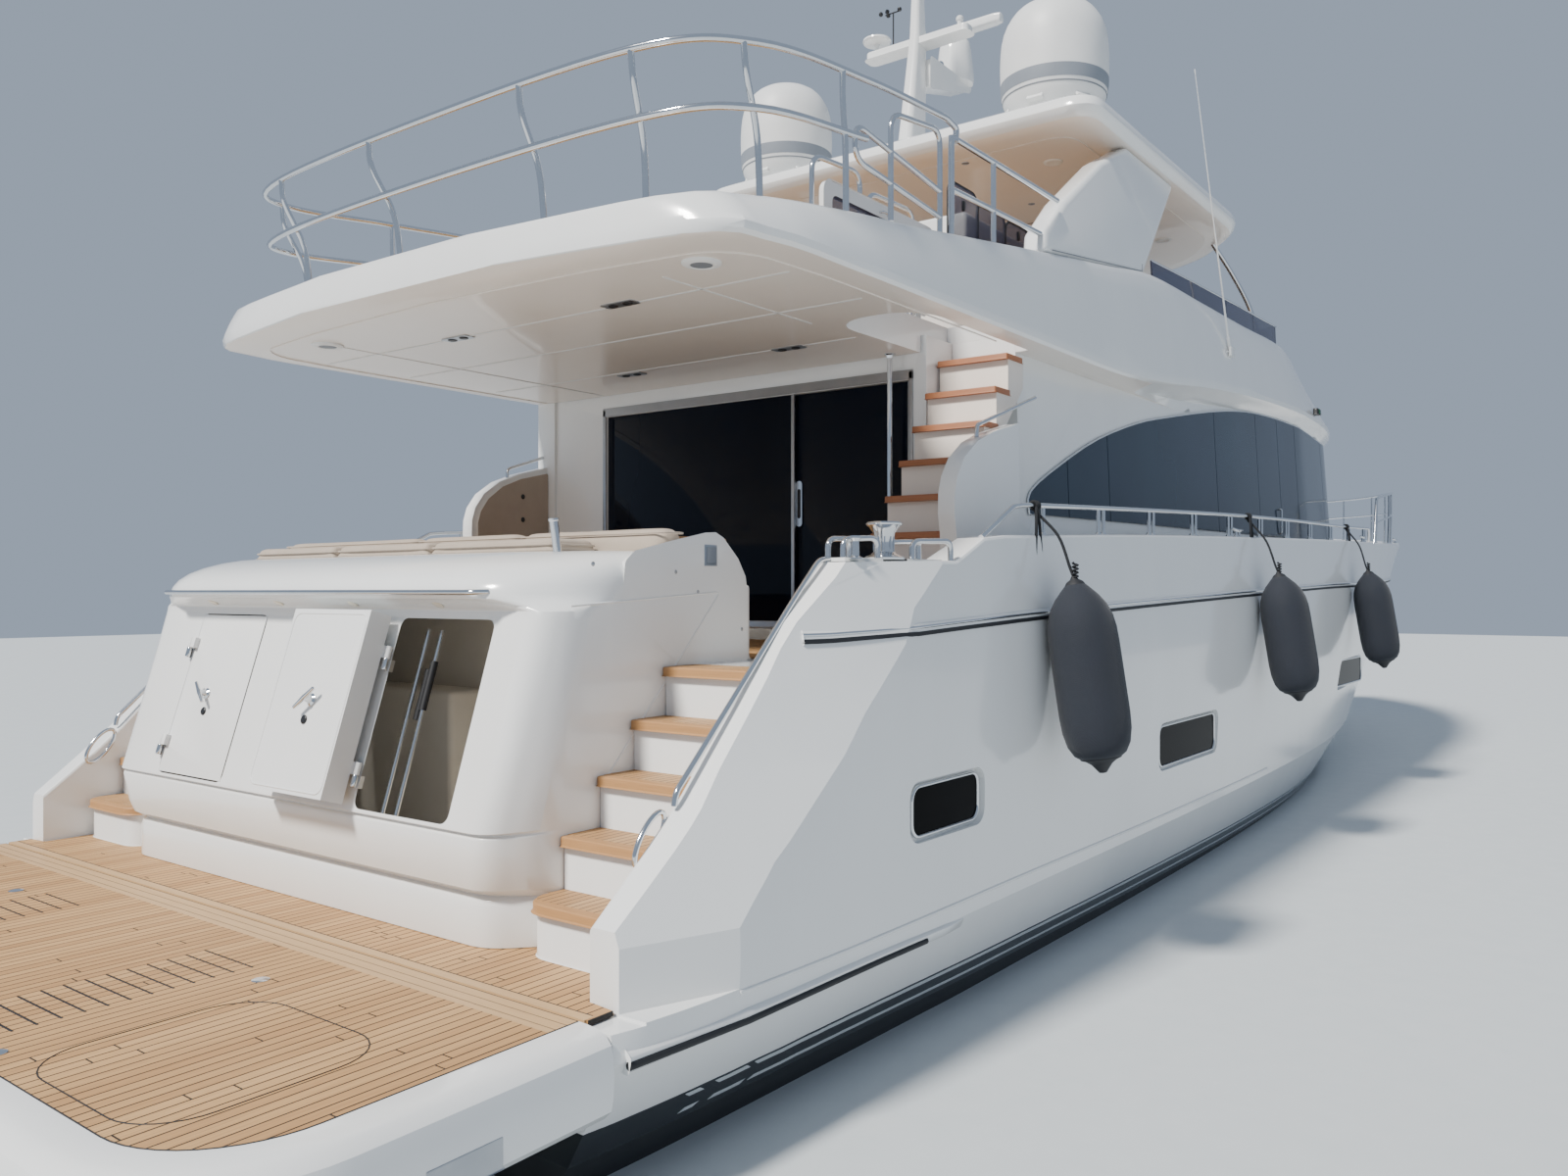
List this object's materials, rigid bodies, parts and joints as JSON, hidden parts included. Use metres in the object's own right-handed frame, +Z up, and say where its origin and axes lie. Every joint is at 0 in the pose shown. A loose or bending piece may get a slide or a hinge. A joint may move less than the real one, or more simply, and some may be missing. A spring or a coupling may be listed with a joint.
{
  "type": "flybridge motor yacht",
  "caption": "White flybridge motor yacht afloat: planing hull, glazed deckhouse, hardtop with domes, aft platform and stairs, turning propellers, rudders and doors.",
  "frame": {"origin": "on the centreline at the waterline, 11.2 m ahead of the swim platform's aft edge", "axes": "+X to the bow, +Y to port, +Z up"},
  "size_m": [24.22, 6.2479, 9.9677],
  "materials": {
    "hull_gelcoat": "gloss white gelcoat, black antifouling below",
    "gelcoat": "gloss white gelcoat",
    "white_plastic": "satin",
    "grey_plastic": "satin",
    "dark_glass": "dark tinted",
    "tinted_glass": "violet tinted",
    "stainless": "polished",
    "bronze": "satin bronze",
    "teak": "oiled teak with dark caulk",
    "cushion": "matt taupe",
    "navy_cloth": "navy knitted cover"
  },
  "bodies": {
    "yacht": {"hull": "hull_gelcoat", "bulwark_port": "hull_gelcoat", "bulwark_starboard": "hull_gelcoat", "deck": "gelcoat", "stern_moulding": "gelcoat", "stern_stair_starboard": "gelcoat", "stern_stair_port": "gelcoat", "deckhouse": "gelcoat", "side_glass_starboard": "dark_glass", "side_glass_port": "dark_glass", "windscreen": "dark_glass", "aft_glass": "dark_glass", "flybridge_moulding": "gelcoat", "flybridge_stair": "gelcoat", "hardtop": "gelcoat", "hardtop_wing_starboard": "gelcoat", "hardtop_wing_port": "gelcoat", "dome_starboard": "gelcoat", "dome_port": "gelcoat", "mast": "gelcoat", "antenna_starboard": "white_plastic", "antenna_port": "white_plastic", "flybridge_rail": "stainless", "side_rail_starboard": "stainless", "side_rail_port": "stainless", "bow_rail": "stainless", "cockpit_pole": "stainless", "foredeck_trunk": "gelcoat", "sunpad": "cushion", "windlass": "stainless", "anchor": "stainless", "stern_capstan_starboard": "stainless", "stern_capstan_port": "stainless", "fender_aft": "navy_cloth", "fender_mid": "navy_cloth", "fender_fore": "navy_cloth", "sofa_seat": "cushion", "sofa_back": "cushion", "cockpit_table": "teak", "fly_console": "gelcoat", "fly_helm_seat": "cushion", "fly_sofa": "cushion", "fly_bar": "gelcoat", "saloon_sofa": "cushion", "helm_console": "grey_plastic", "shaft_starboard": "bronze", "shaft_port": "bronze", "fly_windscreen": "tinted_glass"},
    "swim_platform": {"swim_platform": "teak"},
    "crew_door_starboard": {"crew_door_starboard": "gelcoat"},
    "crew_door_port": {"crew_door_port": "gelcoat"},
    "saloon_door": {"saloon_door": "dark_glass"},
    "stair_hatch_lid": {"stair_hatch_lid": "gelcoat"},
    "radar_scanner": {"radar_scanner": "gelcoat"},
    "propeller_starboard": {"propeller_starboard": "bronze"},
    "propeller_port": {"propeller_port": "bronze"},
    "rudder_starboard": {"rudder_starboard": "bronze"},
    "rudder_port": {"rudder_port": "bronze"}
  },
  "joints": [
    {"name": "platform_lift", "type": "slide", "parent": "yacht", "child": "swim_platform", "axis": [0, 0, -1], "range_m": [0, 0.9]},
    {"name": "crew_door_starboard_hinge", "type": "hinge", "parent": "yacht", "child": "crew_door_starboard", "pos_m": [-9.30102, -0.722, 1.24649], "axis": [0.2948, 0, 0.9556], "range_deg": [0, 180]},
    {"name": "crew_door_port_hinge", "type": "hinge", "parent": "yacht", "child": "crew_door_port", "pos_m": [-9.30102, 1.208, 1.24649], "axis": [0.2948, 0, 0.9556], "range_deg": [-170, 0]},
    {"name": "saloon_door_slide", "type": "slide", "parent": "yacht", "child": "saloon_door", "axis": [0, 1, 0], "range_m": [0, 0.95]},
    {"name": "stair_hatch_hinge", "type": "hinge", "parent": "yacht", "child": "stair_hatch_lid", "pos_m": [-5.73, -1.5, 4.3], "axis": [1, 0, 0], "range_deg": [0, 88]},
    {"name": "radar_spin", "type": "hinge", "parent": "yacht", "child": "radar_scanner", "pos_m": [-1.9, 0, 7.95], "axis": [0, 0, 1], "continuous": true},
    {"name": "propeller_starboard_spin", "type": "hinge", "parent": "yacht", "child": "propeller_starboard", "pos_m": [-7, -1.15, -1.18], "axis": [0.9824, 0, 0.1867], "continuous": true},
    {"name": "propeller_port_spin", "type": "hinge", "parent": "yacht", "child": "propeller_port", "pos_m": [-7, 1.15, -1.18], "axis": [0.9824, 0, 0.1867], "continuous": true},
    {"name": "rudder_starboard_turn", "type": "hinge", "parent": "yacht", "child": "rudder_starboard", "pos_m": [-7.75, -1.15, -1.1], "axis": [0, 0, 1], "range_deg": [-35, 35]},
    {"name": "rudder_port_turn", "type": "hinge", "parent": "yacht", "child": "rudder_port", "pos_m": [-7.75, 1.15, -1.1], "axis": [0, 0, 1], "range_deg": [-35, 35]}
  ],
  "couplings": [
    {"joint": "rudder_port_turn", "follows": "rudder_starboard_turn", "ratio": 1}
  ]
}
